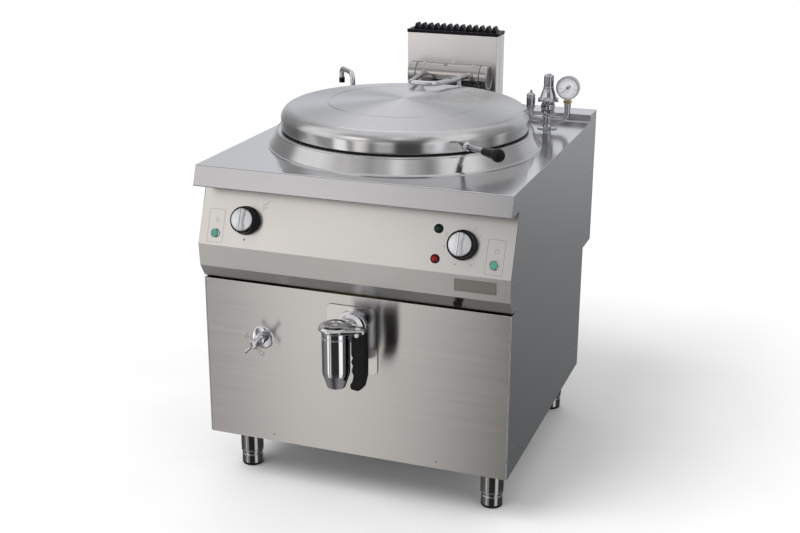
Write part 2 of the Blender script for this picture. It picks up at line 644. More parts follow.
# base plate with its four leg tubes
bm = bmesh.new()
box(bm, -394.8, 394.8, -356.5, 409, 130, 131.5)
ct = bmesh.new()
prism(ct, ring_poly(120, 96, 0, VES_Y), Matrix.Identity(4), 120, 140)
piece("base_sheet", bm, "cabinet", ZINC, "base_plate", bevel=0.3, cut=ct)
bm = bmesh.new()
for _, _, x, y in LEGS:
    lathe(bm, fillet([(30, 130, 0), (30, 47, 0.8), (29.3, 45.8, 0.3), (29.3, 43.8, 0.3), (30, 42.6, 0.5), (30, 39, 1.0), (27.5, 39, 0.4), (27.5, 130, 0)], True, 4), at(x, y, 0), 64)
    lathe(bm, fillet([(33.5, 130, 0.0), (33.5, 127.6, 0.8), (29.5, 127.2, 0.4), (29.5, 130, 0)], True, 3), at(x, y, 0), 64, 1)
    lathe(bm, [(27.5, 100), (27.5, 112), (12.05, 112), (12.05, 100)], at(x, y, 0), 48)
piece("leg_tubes", bm, "cabinet", [LEG, SATIN])

# adjustable feet
for node, body, x, y in LEGS:
    bm = bmesh.new()
    lathe(bm, fillet([(0, 0, 0), (25.5, 0, 1.2), (27.6, 2.0, 1.5), (28.0, 6.5, 0.6), (0, 6.5, 0)], False, 4), at(x, y, 0), 64, 1, closed=False)
    lathe(bm, fillet([(0, 6.5, 0), (27.2, 6.5, 0.6), (28, 8, 1.2), (28, 29.5, 1.6), (26.4, 32.8, 1.0), (26.4, 38.9, 0.5), (12, 38.9, 0.4), (12, 97.5, 0.8), (0, 97.5, 0)], False, 4), at(x, y, 0), 64, 0, closed=False)
    piece(node + "_turned", bm, body, [LEG, SOLE], node)

# screws: domed heads with a cross recess
bm = bmesh.new()


def screw_head(f, r, h):
    prof = [(0, -0.6), (r, -0.6), (r, 0.15 * h)] + [(r * cos(radians(a)), 0.15 * h + 0.85 * h * sin(radians(a))) for a in (25, 45, 65, 80)] + [(0, h)]
    lathe(bm, prof, f, 24, 0, closed=False)
    for a in (0, 90):
        m = f @ Matrix.Rotation(radians(a + 20), 4, "Z")
        prism(bm, [(-0.62 * r, -0.11 * r), (0.62 * r, -0.11 * r), (0.62 * r, 0.11 * r), (-0.62 * r, 0.11 * r)], m, h * 0.86, h * 0.96, 1)


for s in (-1, 1):
    for y, z in ((-335, 823), (-352, 631), (-326, 559), (-307, 194), (379, 183), (470, 700)):
        screw_head(frame_at((s * 400, y, z), (0, 1, 0), (s, 0, 0)), 4.0, 0.6)
for x in (-219, 219):
    screw_head(along_y(x, -360, 150), 3.5, 1.0)
for x in (-360, 360):
    for z in (170, 450):
        screw_head(frame_at((x, 411, z), (1, 0, 0), (0, 1, 0)), 4.0, 1.2)
piece("screw_heads", bm, "cabinet", [SATIN, DARK], "panel_screws")

# raised collar that carries the vessel rim, with its rolled foot and top edge
bm = bmesh.new()
lathe(bm, fillet([(353.2, 850.02, 0), (353.4, 852.4, 1.4), (349.6, 853.6, 2.0), (348.2, 855.4, 3.0), (331.9, 888.6, 1.0), (332.6, 890.4, 0.9), (331.6, 892.4, 0.9), (330.0, 893.0, 0.6), (327.9, 893, 0.3),
                  (327.9, 890, 0.3), (311, 890, 0.5), (311, 888, 0.5), (328.4, 888, 1.0), (346.2, 851.8, 2.0), (347.8, 850.02, 0)], True, 8), AX, 256)
piece("collar_spun", bm, "cabinet", COLLAR, "pan_collar")

# vessel: one deep-drawn pot with its rim and its outlet pipe
bm = bmesh.new()
lathe(bm, fillet([(0, 450, 0), (300, 450, 40), (300, 893, 5), (327.5, 893, 1.0), (327.5, 890.05, 0.6), (303, 890.05, 4), (303, 447, 43), (0, 447, 0)], False, 10), AX, 192, closed=False)
ct = bmesh.new()
prism(ct, ring_poly(24, 48), along_y(0, -300, 478), -60, 60)
piece("vessel_pot", bm, "cabinet", VESSEL, "inner_vessel", cut=ct, sharp=40)
bm = bmesh.new()
lathe(bm, [(24, 286), (24, 362), (27, 362), (27, 286)], along_y(0, 0, 478), 48)
piece("outlet_pipe", bm, "cabinet", VESSEL)

# the flue: front channel, rear cover lapped over it, cast grille
bm = bmesh.new()
FX0, FX1, FT = -144.0, 124.0, 1070.0
o = fillet([(FX0 + 0.6, 471, 0), (FX0 + 0.6, 434, 2.4), (FX1 - 0.6, 434, 2.4), (FX1 - 0.6, 471, 0)], n=6)
prism(bm, o + [(FX1 - 1.8, 471), (FX1 - 1.8, 435.2), (FX0 + 1.8, 435.2), (FX0 + 1.8, 471)], Matrix.Identity(4), 872, FT)
o = fillet([(FX1, 464, 0), (FX1, 506, 2.4), (FX0, 506, 2.4), (FX0, 464, 0)], n=6)
prism(bm, o + [(FX0 + 0.6, 464), (FX0 + 0.6, 504.8), (FX1 - 0.6, 504.8), (FX1 - 0.6, 464)], Matrix.Identity(4), 872, FT)
piece("flue_box", bm, "cabinet", [FLUE], "flue_chimney", bevel=0.25)
bm = bmesh.new()
prism(bm, rounded_rect(FX0 - 1.5, FX1 + 1.5, 432.5, 506, 4), Matrix.Identity(4), FT, FT + 9)
ct = bmesh.new()
prism(ct, rounded_rect(FX0 + 10, FX1 - 10, 442, 497, 3), Matrix.Identity(4), FT - 10, FT + 20)
piece("grille_frame", bm, "cabinet", ENAMEL, "flue_grille", bevel=1.6, segments=3, cut=ct, angle=60)
bm = bmesh.new()
box(bm, FX0 + 8, FX1 - 8, 466, 474, FT + 0.5, FT + 6)
for i in range(13):
    x = -124 + 19.17 * i
    fin = fillet([(x - 7, FT + 5, 1.0), (x + 9, FT + 5, 1.0), (x + 9, FT + 8, 2.0), (x + 2.4, FT + 22, 4.0), (x - 0.6, FT + 25, 1.6), (x - 3, FT + 23, 1.6), (x - 7, FT + 9, 3.0)], True, 5)
    prism(bm, fin, XZ, -485, -455)
piece("grille_fins", bm, "cabinet", ENAMEL, bevel=1.2, segments=2, angle=60)

# ============================================================ the control housing's fittings
# badge plate, left bare: a thin border line pressed into it
bm = bmesh.new()
PL = on_face(B1, C1, 315, 625.5)
prism(bm, rounded_rect(-51, 51, -15.5, 15.5, 1.2, 3), PL, 0.05, 1.2)
for x0, x1, y0, y1 in ((-49, 49, 12.9, 13.5), (-49, 49, -13.5, -12.9), (-49, -48.4, -13.5, 13.5), (48.4, 49, -13.5, 13.5)):
    prism(bm, [(x0, y0), (x1, y0), (x1, y1), (x0, y1)], PL, 1.0, 1.26, 1)
PLATE = metal("badge_steel", (0.33, 0.315, 0.30), 0.32, 0.5, "x", elong=(0, 0, 1), streak=0.12)
piece("bare_badge", bm, "cabinet", [PLATE, INK], "badge_plate", bevel=0.25)

# lamps
bm = bmesh.new()
for k in LAMPS.values():
    lathe(bm, fillet([(8.9, -18, 0), (8.9, 0.02, 0), (11, 0.02, 0.3), (11, 2.6, 1.2), (9.6, 4.0, 0.8), (7.9, 4.0, 0.4), (7.9, -12, 0)], True, 5), k, 48)
piece("lamp_rings", bm, "cabinet", KNOB_BLACK, "lamp_bezels")
for c, mt in (("green", GREEN), ("red", RED)):
    bm = bmesh.new()
    lathe(bm, fillet([(0, -10, 0), (7.75, -10, 0), (7.75, 4.2, 0.6), (6.7, 5.4, 1.0), (5.2, 6.6, 2.0), (0, 7.0, 0)], False, 6), LAMPS[c], 48, closed=False)
    piece(c + "_lens", bm, "cabinet", mt, c + "_lamp_lens")

# push buttons in their chromed rings
bm = bmesh.new()
for k in BUTTONS.values():
    lathe(bm, fillet([(8.9, -24, 0), (8.9, 0.02, 0), (11.5, 0.02, 0.3), (11.5, 3.0, 1.3), (9.9, 4.4, 0.4), (9.6, 3.8, 0.1), (9.6, 0.7, 0), (8.0, 0.7, 0), (8.0, -22, 0)], True, 5), k, 56)
piece("button_rings", bm, "cabinet", CHROME, "push_button_bezels")
for s, k in BUTTONS.items():
    bm = bmesh.new()
    lathe(bm, fillet([(0, -17, 0), (7.7, -17, 0.3), (7.7, 4.4, 0.2), (9.2, 4.4, 0.2), (9.2, 5.6, 0.8), (7.0, 6.6, 1.0), (0, 7.0, 0)], False, 5), k, 48, closed=False)
    piece(s + "_button_cap", bm, s + "_button", PALE, s + "_push_button")

# printed frames, marks and dots on the housing, as thin raised print
bm = bmesh.new()


def print_ring(f, outline, w=0.55, h=0.12):
    """A closed printed line of width w."""
    n = len(outline)
    cx, cy = sum(p[0] for p in outline) / n, sum(p[1] for p in outline) / n
    ins = []
    for i, p in enumerate(outline):
        a, b = outline[i - 1], outline[(i + 1) % n]
        t = Vector((b[0] - a[0], b[1] - a[1])).normalized()
        ins.append((p[0] - t.y * w, p[1] + t.x * w))
    rows = []
    for hh, pts in ((-0.05, outline), (h, outline), (h, ins), (-0.05, ins)):
        rows.append([bm.verts.new(f @ Vector((x, y, hh))) for x, y in pts])
    for a, b in zip(rows, rows[1:] + rows[:1]):
        for i in range(n):
            j = (i + 1) % n
            bm.faces.new((a[i], a[j], b[j], b[i]))


def dot(f, x, y, r, h=0.12):
    lathe(bm, [(0, -0.05), (r, -0.05), (r, h), (0, h)], f @ at(x, y, 0), 20, closed=False)


def stroke(f, pts, w=0.7, h=0.12):
    for (x0, y0), (x1, y1) in zip(pts[:-1], pts[1:]):
        d = Vector((x1 - x0, y1 - y0)).normalized()
        nx, ny = -d.y * w / 2, d.x * w / 2
        prism(bm, [(x0 + nx, y0 + ny), (x0 - nx, y0 - ny), (x1 - nx, y1 - ny), (x1 + nx, y1 + ny)], f, -0.05, h)


for s, k in BUTTONS.items():
    print_ring(k, rounded_rect(-21, 21, -23, 60, 4.5, 5))
    print_ring(k, ring_poly(5.2, 24, 3.0, 33), 0.5)
    stroke(k, [(3.0, 33), (3.0, 36.4)] if s == "right" else [(-0.5, 33), (6.5, 33)], 0.5)
dot(KNOBS["left"], 0, -47, 2.4)
for x, y in ((-13, -46), (24, -44), (-45, -8), (40, 26), (27, 42)):
    dot(KNOBS["right"], x, y, 1.0 if y > 0 else 1.4)
# a tap symbol above the left knob and a flame symbol beside the green lamp
k = KNOBS["left"]
stroke(k, [(41, 30), (41, 44), (53, 44)], 0.6)
stroke(k, [(50, 47), (54, 53)], 0.8)
print_ring(k, ring_poly(3.0, 20, 47, 36), 0.5)
k = KNOBS["right"]
print_ring(k, ring_poly(3.4, 20, -42, 22), 0.5)
piece("printed_marks", bm, "cabinet", INK, bevel=0)

# igniter button under the lip
bm = bmesh.new()
lathe(bm, fillet([(0, -16, 0), (6.95, -16, 0.5), (6.95, 5, 0.4), (11, 5, 0.8), (11, 9.6, 2.4), (8.5, 12, 2.0), (0, 11.2, 0)], False, 6), IGN, 48, closed=False)
piece("igniter_cap", bm, "igniter", BLACK, "igniter_button")

# control knobs
for s, k in KNOBS.items():
    bm = bmesh.new()
    lathe(bm, fillet([(0, -36, 0), (4, -36, 0.5), (4, 1.5, 0), (34.2, 1.5, 0.3), (35.5, 3.0, 1.0), (35.5, 8.2, 1.4), (33.4, 10.4, 1.2), (32.6, 25.0, 1.2), (30.9, 26.6, 0.6), (30.9, 27.2, 0), (0, 27.2, 0)], False, 5), k, 96, closed=False)
    lathe(bm, fillet([(0, 27.0, 0), (27.6, 27.0, 0), (27.6, 29.2, 1.4), (26.0, 30.6, 1.4), (15, 31.6, 30), (0, 32.0, 0)], False, 6), k, 96, 1, closed=False)
    # the raised grip bar, waisted, with a groove along its top
    half = []
    for i in range(25):
        t = -1 + 2 * i / 24
        half.append((t * 26.8, 9.8 - 2.8 * cos(t * pi / 2) ** 2 if abs(t) < 0.97 else 8.2))
    rows = []
    sect = [(-1.0, 0.0), (-0.86, 6.4), (-0.66, 7.6), (-0.30, 7.6), (-0.16, 4.6), (0.16, 4.6), (0.30, 7.6), (0.66, 7.6), (0.86, 6.4), (1.0, 0.0)]
    for y, w in half:
        drop = 1.0 - 0.40 * (abs(y) / 26.8) ** 6
        rows.append([bm.verts.new(k @ Vector((u * w, y, 30.6 + v * drop * (0.98)))) for u, v in sect])
    for a, b in zip(rows[:-1], rows[1:]):
        for i in range(len(sect)):
            j = (i + 1) % len(sect)
            bm.faces.new((a[i], a[j], b[j], b[i])).material_index = 1
    bm.faces.new(rows[0][::-1]).material_index = 1
    bm.faces.new(rows[-1]).material_index = 1
    piece(s + "_knob_moulded", bm, s + "_knob", [KNOB_BLACK, KNOB_FACE], "knob_" + s, sharp=50)

# ================================================================ the draw-off tap
TAP_Y, TAP_Z = -464.0, 478.0
TAP = at(0, TAP_Y, 0)
bm = bmesh.new()
prism(bm, rounded_rect(-67, 67, 356, 529, 14, 8), XZ, 360.02, 363)
for f in bm.faces:
    f.normal_update()
    f.material_index = 1 if abs(f.normal.y) < 0.5 else 0
ct = bmesh.new()
prism(ct, ring_poly(27.1, 48), along_y(0, -360, 478), -12, 12)
TAPPLATE = metal("tap_plate_steel", (0.66, 0.65, 0.64), 0.12, 0.6, "z", elong=(1, 0, 0), streak=0.04)
piece("tap_plate", bm, "cabinet", [TAPPLATE, EDGE], "tap_backplate", bevel=0.7, segments=3, cut=ct)

bm = bmesh.new()
lathe(bm, fillet([(17, 361.6, 0), (18, 361, 0.4), (21.6, 361, 1.2), (23.0, 363.5, 1.2), (33.6, 395.5, 9), (34.5, 404, 6), (34.5, 488.6, 0.8), (33.2, 489.4, 0.3), (33.2, 491.6, 0.3), (34.5, 492.6, 0.8),
                  (34.5, 504, 0.6), (26.05, 504, 0.3), (26.05, 441, 0.5), (17, 441, 0.5)], True, 6), TAP, 96)
# neck and flange towards the panel
lathe(bm, fillet([(0, -371, 0), (38.6, -371, 1.5), (40, -368.4, 1.2), (40, -363.05, 0.3), (0, -363.05, 0)], False, 5), frame_at((0, 0, 478), (1, 0, 0), (0, 1, 0)), 64, closed=False)
lathe(bm, fillet([(25, -436, 0), (25, -380, 7), (33, -370.5, 0), (20, -370.5, 0), (20, -436, 0)], True, 6), frame_at((0, 0, 478), (1, 0, 0), (0, 1, 0)), 64)
lathe(bm, fillet([(24, -430.5, 0), (27.4, -430.5, 0.8), (27.4, -424, 0.8), (24, -424, 0)], True, 4), frame_at((0, 0, 478), (1, 0, 0), (0, 1, 0)), 64)
piece("tap_barrel", bm, "cabinet", CHROME, "tap_body")

bm = bmesh.new()
outline = fillet([(12, -39, 8), (46, -25, 8), (60, -17, 6), (76, -13, 7), (76, 13, 7), (60, 17, 6), (46, 25, 8), (12, 39, 8)], True, 6)
lathe(bm, fillet([(0, 504.2, 0), (34.2, 504.2, 0.6), (36.5, 505.6, 1.5), (42, 509.0, 2.5), (42, 513.5, 3.0), (38.0, 518.5, 3), (29.5, 521.6, 2), (26.5, 522, 0.6), (17.8, 522, 0.5), (17.0, 519.4, 0.6), (6.5, 519.4, 0.5), (5.5, 521.2, 1.2), (0, 521.6, 0)], False, 6), TAP, 96, closed=False)
piece("tap_cap_turned", bm, "tap", CHROME, "tap_cap")
bm = bmesh.new()
prism(bm, outline, TAP, 506.0, 516.6)
piece("tap_arm", bm, "tap", CHROME, bevel=3.2, segments=4)
bm = bmesh.new()
lathe(bm, fillet([(0, 514, 0), (8.4, 514, 0), (8.4, 518.0, 2.0), (5.5, 520.2, 2.0), (0, 521.0, 0)], False, 5), TAP @ at(58, 0, 0), 40, closed=False)
lathe(bm, fillet([(0, -19, 0), (6.0, -19, 2.0), (6.0, 19, 2.0), (0, 19, 0)], False, 5), frame_at((60, TAP_Y, 505.0), (1, 0, 0), (0, 1, 0)), 32, closed=False)
piece("tap_arm_pin", bm, "tap", CHROME)
piece_plug = bmesh.new()
lathe(piece_plug, fillet([(0, 441.2, 0), (25.95, 441.2, 0.8), (25.95, 504.1, 0.4), (0, 504.1, 0)], False, 4), TAP, 64, closed=False)
piece("tap_plug_turned", piece_plug, "tap", SATIN, "tap_plug")

bm = bmesh.new()
grip_line = fillet([(47, 507.0, 4), (42.5, 488, 14), (42.5, 452, 8), (46.5, 444, 4), (42.0, 434, 5), (46.5, 424, 4), (43.0, 411, 5), (48, 399, 5), (45, 384, 7), (38.5, 373, 5), (41.5, 362.5, 5), (60, 360.4, 7), (72.5, 371, 9), (79, 400, 24), (79.6, 450, 40),
                    (77.0, 507.0, 4)], True, 6)
prism(bm, grip_line, XZ @ at(0, 0, -TAP_Y), -12, 12)
piece("tap_grip_moulded", bm, "tap", BLACK, "tap_grip", bevel=5.5, segments=5, angle=62, sharp=60)

# ================================================================ jacket level valve
V = along_y(-242, 0, 414)
bm = bmesh.new()
lathe(bm, fillet([(12, 360.05, 0), (30, 360.05, 0.2), (30, 361.0, 0.5), (27.5, 363.2, 2.5), (17.5, 364.0, 0), (12, 364.0, 0)], True, 6), V, 80)
lathe(bm, fillet([(0, 330, 0), (12, 330, 0), (12, 377, 0.5), (13.6, 378, 0.8), (13.6, 383.5, 1.0), (10.6, 386, 1.5), (8.2, 387.5, 0.8), (8.2, 391.5, 0.8), (6.0, 393, 0.6), (6.0, 415, 0.3), (0, 415, 0)], False, 5), V, 48, closed=False)
hexa = [(14.2 * cos(radians(60 * i + 12)), 14.2 * sin(radians(60 * i + 12))) for i in range(6)]
prism(bm, hexa, V, 368.5, 376.5)
lathe(bm, [(0, 170.5), (8, 170.5), (8, 330), (0, 330)], V, 32, closed=False)
piece("jacket_valve_turned", bm, "cabinet", CHROME, "jacket_valve_body", bevel=0.5, segments=2, angle=40)
bm = bmesh.new()
lathe(bm, fillet([(6.05, 401, 0), (8.8, 401, 0.8), (11, 405, 2.0), (11, 414.5, 2.0), (8.6, 418.0, 1.5), (7.4, 418.0, 0.6), (6.6, 416.8, 0.4), (0, 417.2, 0), (0, 416.2, 0), (6.05, 416.2, 0)], True, 5), V, 56)
for a in (45, 135, 225, 315):
    f = V @ at(0, 0, 411) @ frame_at((0, 0, 0), (0, 0, 1), (cos(radians(a)), sin(radians(a)), 0))
    lathe(bm, fillet([(0, 8, 0), (5.0, 8, 0), (3.7, 13, 3), (3.3, 26.0, 3), (4.4, 29.0, 2), (4.7, 33.0, 2.6), (3.0, 35.4, 1.6), (0, 35.6, 0)], False, 5), f, 28, closed=False)
piece("cross_handle", bm, "jacket_handle", CHROME, "jacket_valve_handle")

# ================================================================ water spout
PX, PY, PT = -260.0, 300.0, 966.0
TX, TY = PX + 92.0 * cos(radians(132)), PY + 92.0 * sin(radians(132))
S = at(PX, PY, 0)
bm = bmesh.new()
lathe(bm, fillet([(7.05, 850.02, 0), (20, 850.02, 0.3), (20, 853.0, 1.2), (17.0, 856.0, 2.5), (12, 857.5, 1.5), (12, 888.6, 1.2), (10.8, 890, 0.5), (7.05, 890, 0.2)], True, 6), S, 64)
piece("spout_socket", bm, "cabinet", CHROME, "spout_base")
bm = bmesh.new()
hexa = [(14.5 * cos(radians(60 * i)), 14.5 * sin(radians(60 * i))) for i in range(6)]
prism(bm, hexa, S, 857.5, 866.5)
piece("spout_nut", bm, "cabinet", CHROME, bevel=0.8, segments=3)
bm = bmesh.new()
path = fillet([(PX, PY, 861, 0), (PX, PY, PT, 22), (TX, TY, PT, 22), (TX, TY, 936, 0)], n=12)
tube(bm, dense(path, 4), 7, 32)
lathe(bm, fillet([(7, 890.35, 0), (10.6, 890.35, 0.6), (11, 891.2, 0.5), (11, 894.8, 0.8), (8.5, 896.2, 0.8), (7, 896.2, 0)], True, 4), S, 48)
lathe(bm, fillet([(5.0, 926, 0.3), (5.0, 939.6, 0), (7.4, 939.6, 0.3), (8.4, 938.6, 0.6), (8.5, 925.2, 0.8), (7.6, 924, 0.5), (5.6, 924, 0.4)], True, 4), at(TX, TY, 0), 40, 1)
piece("spout_gooseneck", bm, "spout", [CHROME, BLACK], "water_spout")

# ================================================================ safety group on the deck
SX, SY = 304.0, 315.0
VX, GX = 256.0, 358.0
G = at(SX, SY, 0)
bm = bmesh.new()
lathe(bm, fillet([(9, 850.02, 0), (28, 850.02, 0.3), (28, 851.6, 0.8), (24, 853.2, 2.0), (12.5, 855.0, 2.0), (10.5, 862, 3.0), (11.2, 866.5, 1.5), (13.4, 868, 1.5), (13.4, 884.0, 1.5), (11.5, 886.2, 1.0), (10.2, 888, 0.5), (9, 888, 0)], True, 6), G, 64)
lathe(bm, [(0, 800), (9, 800), (9, 851), (0, 851)], G, 40, closed=False)
d = Vector((-SX, VES_Y - SY, 0))
L = d.length - 332 + 0.2
lathe(bm, [(0, 0), (9, 0), (9, L), (0, L)], frame_at((SX, SY, 800), (0, 0, 1), d), 32, closed=False)
ball(bm, (SX, SY, 800), 9.02, 32)
path = fillet([(VX, SY, 904, 0), (VX, SY, 876, 22), (GX, SY, 876, 22), (GX, SY, 922, 0)], n=12)
tube(bm, dense(path, 4), 8, 32, taper=lambda t: 1.0 + 0.16 * max(0.0, 1 - abs(t - 0.43) / 0.16))
for x, z in ((VX, 896.5), (GX, 914)):
    lathe(bm, fillet([(8, z, 0), (9.6, z, 0.6), (9.6, z + 6.5, 0.8), (8, z + 6.5, 0)], True, 4), at(x, SY, 0), 40)
piece("manifold_cast", bm, "cabinet", FITTING, "safety_manifold")

bm = bmesh.new()
lathe(bm, fillet([(0, 888, 0), (11.5, 888, 0.4), (11.5, 891.5, 0.8), (13.6, 893.0, 0.8), (13.6, 901.6, 0.8), (17.2, 903.4, 1.2), (19, 905.4, 1.0), (19, 917.5, 2.2), (16.0, 920.2, 1.2), (14.2, 921.0, 0.6),
                  (14.2, 924.0, 0.6), (25.6, 925.6, 1.2), (28, 927.4, 1.2), (28, 930.6, 1.4), (24.4, 933.6, 1.2), (21.6, 938.5, 3), (17.6, 951.5, 3), (14.6, 959.0, 2), (14.6, 963.4, 0.6), (13.2, 964.6, 0.4),
                  (13.2, 966.6, 0.4), (13.6, 968.0, 0.6), (13.6, 993.5, 2.0), (11.2, 996.2, 1.2), (6.5, 997.0, 0.8), (5.2, 999.6, 0.8), (0, 1000, 0)], False, 5), G, 72, closed=False)
for i in range(6):      # bolt bosses round the bonnet flange
    a = radians(60 * i + 18)
    lathe(bm, fillet([(0, 922.6, 0), (3.6, 922.6, 0.4), (3.6, 934.4, 0.9), (0, 935.0, 0)], False, 3), G @ at(24.0 * cos(a), 24.0 * sin(a), 0), 20, closed=False)
piece("safety_valve_turned", bm, "cabinet", FITTING, "safety_valve")
bm = bmesh.new()
hexa = [(18.2 * cos(radians(60 * i + 10)), 18.2 * sin(radians(60 * i + 10))) for i in range(6)]
prism(bm, hexa, G, 892.8, 901.8)
hexa = [(12.2 * cos(radians(60 * i + 5)), 12.2 * sin(radians(60 * i + 5))) for i in range(6)]
prism(bm, hexa, at(VX, SY, 0), 904.4, 909.6)
piece("union_nuts", bm, "cabinet", FITTING, bevel=0.9, segments=3)

bm = bmesh.new()
prof = [(0, 903.6, 0), (8.5, 903.6, 0.6), (8.8, 906, 0.5), (11.4, 911.4, 1.0), (11.4, 913.5, 0.5)]
prof += [(11.9, 915.0, 0.6), (11.9, 932.0, 0.6)]
prof += [(11.2, 933.0, 0.4), (11.9, 934.2, 0.4), (11.2, 935.4, 0.4), (11.9, 936.6, 0.4), (11.4, 940.6, 1.0), (6.5, 944.4, 1.2), (3.6, 945.6, 0.6), (3.2, 952.0, 1.0), (0, 954, 0)]
lathe(bm, fillet(prof, False, 4), at(VX, SY, 0), 56, closed=False)
for i in range(14):     # knurl on the cap
    a = 2 * pi * i / 14
    box(bm, -0.55, 0.55, 11.2, 12.05, 916.5, 930.5, 0, at(VX, SY, 0) @ Matrix.Rotation(a, 4, "Z"))
piece("vacuum_valve_turned", bm, "cabinet", FITTING, "vacuum_valve")

# pressure gauge
GZ = 966.0
GA = along_y(GX, 0, GZ)
bm = bmesh.new()
lathe(bm, fillet([(0, -327.6, 0), (28.5, -327.6, 2.0), (30.6, -324, 2.0), (31.0, -309.5, 0.6), (31.5, -308.5, 0.4), (31.5, -303.2, 1.3), (30.2, -302.02, 0.6), (29.0, -302.3, 0.3), (29.0, -309, 0.2), (0, -309, 0)], False, 6), GA, 96, closed=False)
lathe(bm, [(1.55, -309), (4, -309), (4, -305.05), (1.55, -305.05)], GA, 24)
piece("gauge_case_turned", bm, "cabinet", FITTING, "gauge_case")
bm = bmesh.new()
lathe(bm, fillet([(0, 921.8, 0), (9.2, 921.8, 0.6), (9.2, 923.2, 0.4), (0, 923.2, 0)], False, 3), at(GX, SY, 0), 40, closed=False)
lathe(bm, fillet([(0, 932, 0), (6.8, 932, 0.3), (6.8, 936.6, 0.4), (0, 937.5, 0)], False, 3), at(GX, SY, 0), 40, closed=False)
hexa = [(11.9 * cos(radians(60 * i + 20)), 11.9 * sin(radians(60 * i + 20))) for i in range(6)]
prism(bm, hexa, at(GX, SY, 0), 923.0, 932.4)
piece("gauge_nut", bm, "cabinet", BRASS, bevel=0.7, segments=3)
bm = bmesh.new()
lathe(bm, fillet([(4.2, -308.9, 0), (28.6, -308.9, 0), (28.6, -308.2, 0.2), (4.2, -308.2, 0)], True, 2), GA, 72)
DZ = -308.15
for i in range(41):
    a = radians(225 - 270 * i / 40)
    big = i % 5 == 0
    r0, r1, w = (22.6, 26.6, 0.34) if big else (24.6, 26.6, 0.18)
    m = GA @ Matrix.Rotation(a, 4, "Z")
    prism(bm, [(r0, -w), (r1, -w), (r1, w), (r0, w)], m, DZ - 0.05, DZ + 0.05, 1)
outer_arc = [(26.9 * cos(radians(225 - 2.5 * i)), 26.9 * sin(radians(225 - 2.5 * i))) for i in range(109)]
inner_arc = [(26.55 * cos(radians(225 - 2.5 * i)), 26.55 * sin(radians(225 - 2.5 * i))) for i in range(109)]
for i in range(108):
    prism(bm, [inner_arc[i], inner_arc[i + 1], outer_arc[i + 1], outer_arc[i]], GA, DZ - 0.05, DZ + 0.05, 1)
for i, word in enumerate(("0", "0.5", "1", "1.5", "2", "2.5", "3", "3.5", "4")):
    a = radians(225 - 270 * i / 8)
    text_mesh(bm, word, 5.0, GA @ at(18.6 * cos(a), 18.6 * sin(a), DZ), 0.1, 1)
text_mesh(bm, "bar", 4.4, GA @ at(0, -11.0, DZ), 0.1, 1)
piece("gauge_dial", bm, "cabinet", [WHITE_DIAL, INK], bevel=0, weighted=False)
bm = bmesh.new()
ND = GA @ Matrix.Rotation(radians(180 + 41), 4, "Z")
lathe(bm, fillet([(0, -305.0, 0), (3.2, -305.0, 0.2), (3.2, -304.3, 0.3), (0, -303.95, 0)], False, 3), GA, 32, closed=False)
lathe(bm, [(0, -316), (1.5, -316), (1.5, -304.5), (0, -304.5)], GA, 20, closed=False)
prism(bm, [(25.0, 0.0), (21.0, 0.62), (0, 1.0), (-6.0, 1.0), (-7.4, 2.1), (-10.0, 2.1), (-10.0, -2.1), (-7.4, -2.1), (-6.0, -1.0), (0, -1.0), (21.0, -0.62)], ND, -304.9, -304.4)
piece("gauge_pointer", bm, "needle", BLACK, "gauge_needle")
bm = bmesh.new()
lathe(bm, fillet([(0, -303.4, 0), (28.95, -303.4, 0.1), (28.95, -302.3, 0.3), (0, -302.2, 0)], False, 2), GA, 72, closed=False)
piece("gauge_window", bm, "cabinet", GLASS, "gauge_glass")

# ================================================================ lid hinge
HX = along_x(0, 390, 963)
bm = bmesh.new()
lathe(bm, fillet([(10.05, -93, 0), (33.6, -93, 0.4), (35, -91.8, 1.0), (35, -86.4, 0.3), (34.6, -86.0, 0.2), (34.6, -85.2, 0.2), (35, -84.8, 0.3), (35, 84.8, 0.3), (34.6, 85.2, 0.2), (34.6, 86.0, 0.2), (35, 86.4, 0.3), (35, 91.8, 1.0), (33.6, 93, 0.4), (10.05, 93, 0),
                  (10.05, 85, 0), (28, 85, 0), (28, -85, 0), (10.05, -85, 0)], True, 5), HX, 96)
piece("hinge_sleeve_turned", bm, "lid", TUBE_X, "hinge_sleeve")
bm = bmesh.new()
for x, a in ((-72, 24), (-8, 28), (12, 4), (72, 24)):
    f = frame_at((x, 390 - 34.7 * sin(radians(a)), 963 + 34.7 * cos(radians(a))), (1, 0, 0), (0, -sin(radians(a)), cos(radians(a))))
    if x == -8:
        lathe(bm, fillet([(0, -1, 0), (4.6, -1, 0), (4.6, 0.5, 0.3), (2.8, 0.6, 0.2), (2.6, -0.4, 0.1), (0, -0.4, 0)], False, 3), f, 28, 1, closed=False)
    else:
        lathe(bm, fillet([(0, -1, 0), (5.0, -1, 0), (5.0, 0.8, 0.4), (4.0, 2.6, 1.4), (2.2, 3.0, 0.6), (1.8, 1.8, 0.3), (0, 1.8, 0)], False, 4), f, 28, 0, closed=False)
piece("hinge_sleeve_screws", bm, "lid", [SATIN, DARK])
bm = bmesh.new()
for s in (-1, 1):
    f = along_x(0, 390, 963)
    lathe(bm, fillet([(0, s * 94, 0), (34.0, s * 94, 0.5), (35, s * 95, 0.8), (35, s * 113.4, 2.0), (32.4, s * 116, 1.4), (30.2, s * 116, 0.6), (29.6, s * 114.6, 0.5)], False, 6), f, 96, 0, closed=False)
    lathe(bm, fillet([(29.6, s * 114.6, 0), (12, s * 114.6, 0.8), (11, s * 113.8, 0.6), (0, s * 113.8, 0)], False, 6), f, 96, 1, closed=False)
piece("hinge_housings", bm, "cabinet", [HINGE_RING, CASTING], "hinge_brackets")
bm = bmesh.new()
